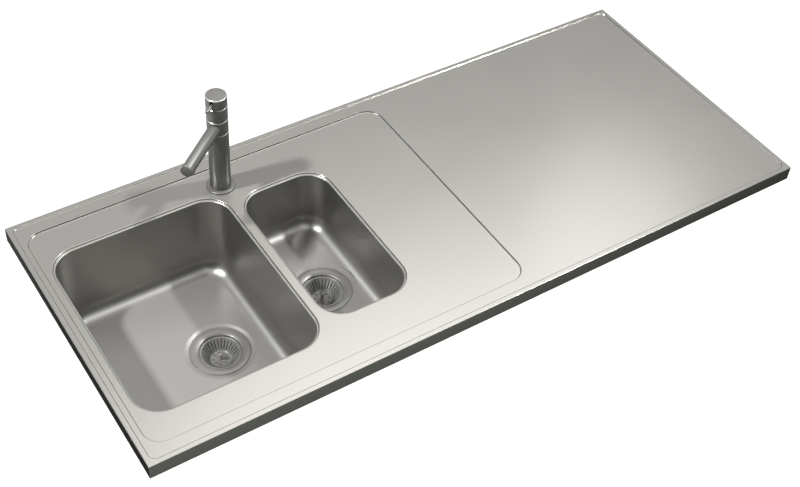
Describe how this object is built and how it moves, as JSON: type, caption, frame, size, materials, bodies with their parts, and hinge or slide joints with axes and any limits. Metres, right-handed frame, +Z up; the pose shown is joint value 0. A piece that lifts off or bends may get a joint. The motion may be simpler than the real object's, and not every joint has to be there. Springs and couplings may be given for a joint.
{
  "type": "kitchen sink top with mixer tap",
  "caption": "Stainless steel worktop with a large and a small sink bowl, a smooth drainer, basket strainer wastes and a swivelling single-lever mixer tap.",
  "frame": {"origin": "centre of the worktop's plan, on the underside that rests on the cabinet", "axes": "+X along the worktop from the bowls to the drainer, +Y to the back edge where the tap stands, +Z up"},
  "size_m": [1.4, 0.6, 0.5195],
  "materials": {
    "worktop_steel": "satin rolled stainless steel",
    "bowl_steel": "deep drawn stainless steel, brighter towards the corners",
    "waste_steel": "polished pressed stainless steel",
    "tap_chrome": "polished chrome plate",
    "brass": "turned brass",
    "zinc_steel": "zinc plated steel",
    "black_rubber": "moulded rubber",
    "fibre": "pressed fibre",
    "white_plastic": "moulded plastic",
    "ceramic": "ceramic and moulded plastic cartridge",
    "board": "bare particle board",
    "damping": "bitumen sheet"
  },
  "bodies": {
    "worktop": {"worktop_sheet": "worktop_steel", "main_bowl": "bowl_steel", "small_bowl": "bowl_steel", "drainer_board": "board", "front_batten": "board", "back_batten": "board", "left_batten": "board", "main_sound_pad": "damping", "small_sound_pads": "damping", "tap_base_ring": "tap_chrome", "tap_base_seal": "black_rubber", "tap_body": "tap_chrome", "tap_shank": "brass", "tap_rubber_washer": "black_rubber", "tap_clamp_plate": "zinc_steel", "tap_nut": "brass", "swivel_washers": "white_plastic", "swivel_orings": "black_rubber", "cartridge_housing": "tap_chrome", "cartridge": "ceramic", "cartridge_seals": "black_rubber", "cartridge_nut": "brass", "main_waste_cup": "waste_steel", "main_waste_seal": "black_rubber", "main_waste_washer": "black_rubber", "main_friction_ring": "fibre", "main_locknut": "white_plastic", "main_tail_pipe": "white_plastic", "main_tail_seal": "black_rubber", "main_tail_nut": "white_plastic", "small_waste_cup": "waste_steel", "small_waste_seal": "black_rubber", "small_waste_washer": "black_rubber", "small_friction_ring": "fibre", "small_locknut": "white_plastic", "small_tail_pipe": "white_plastic", "small_tail_seal": "black_rubber", "small_tail_nut": "white_plastic"},
    "spout": {"spout_collar": "tap_chrome", "spout_tube": "tap_chrome", "spout_end_cap": "tap_chrome", "spout_aerator": "white_plastic"},
    "handle": {"handle_stem": "brass", "handle_cap": "tap_chrome", "handle_screw": "zinc_steel", "lever_pivot": "zinc_steel"},
    "lever": {"lever_pin": "tap_chrome", "lever_knuckle": "brass"},
    "main_basket": {"main_strainer": "waste_steel", "main_strainer_seal": "black_rubber", "main_strainer_knob": "waste_steel", "main_strainer_nut": "waste_steel"},
    "small_basket": {"small_strainer": "waste_steel", "small_strainer_seal": "black_rubber", "small_strainer_knob": "waste_steel", "small_strainer_nut": "waste_steel"}
  },
  "joints": [
    {"name": "spout_swivel", "type": "hinge", "parent": "worktop", "child": "spout", "pos_m": [-0.3063, 0.2136, 0.166], "axis": [0, 0, 1], "range_deg": [-30, 130]},
    {"name": "handle_turn", "type": "hinge", "parent": "worktop", "child": "handle", "pos_m": [-0.3063, 0.2136, 0.2265], "axis": [0, 0, 1], "range_deg": [-45, 45]},
    {"name": "lever_lift", "type": "hinge", "parent": "handle", "child": "lever", "pos_m": [-0.3063, 0.2136, 0.2375], "axis": [-0.6157, 0.788, 0], "range_deg": [0, 15]},
    {"name": "main_strainer_lift", "type": "slide", "parent": "worktop", "child": "main_basket", "axis": [0, 0, 1], "range_m": [0, 0.23]},
    {"name": "small_strainer_lift", "type": "slide", "parent": "worktop", "child": "small_basket", "axis": [0, 0, 1], "range_m": [0, 0.18]}
  ]
}
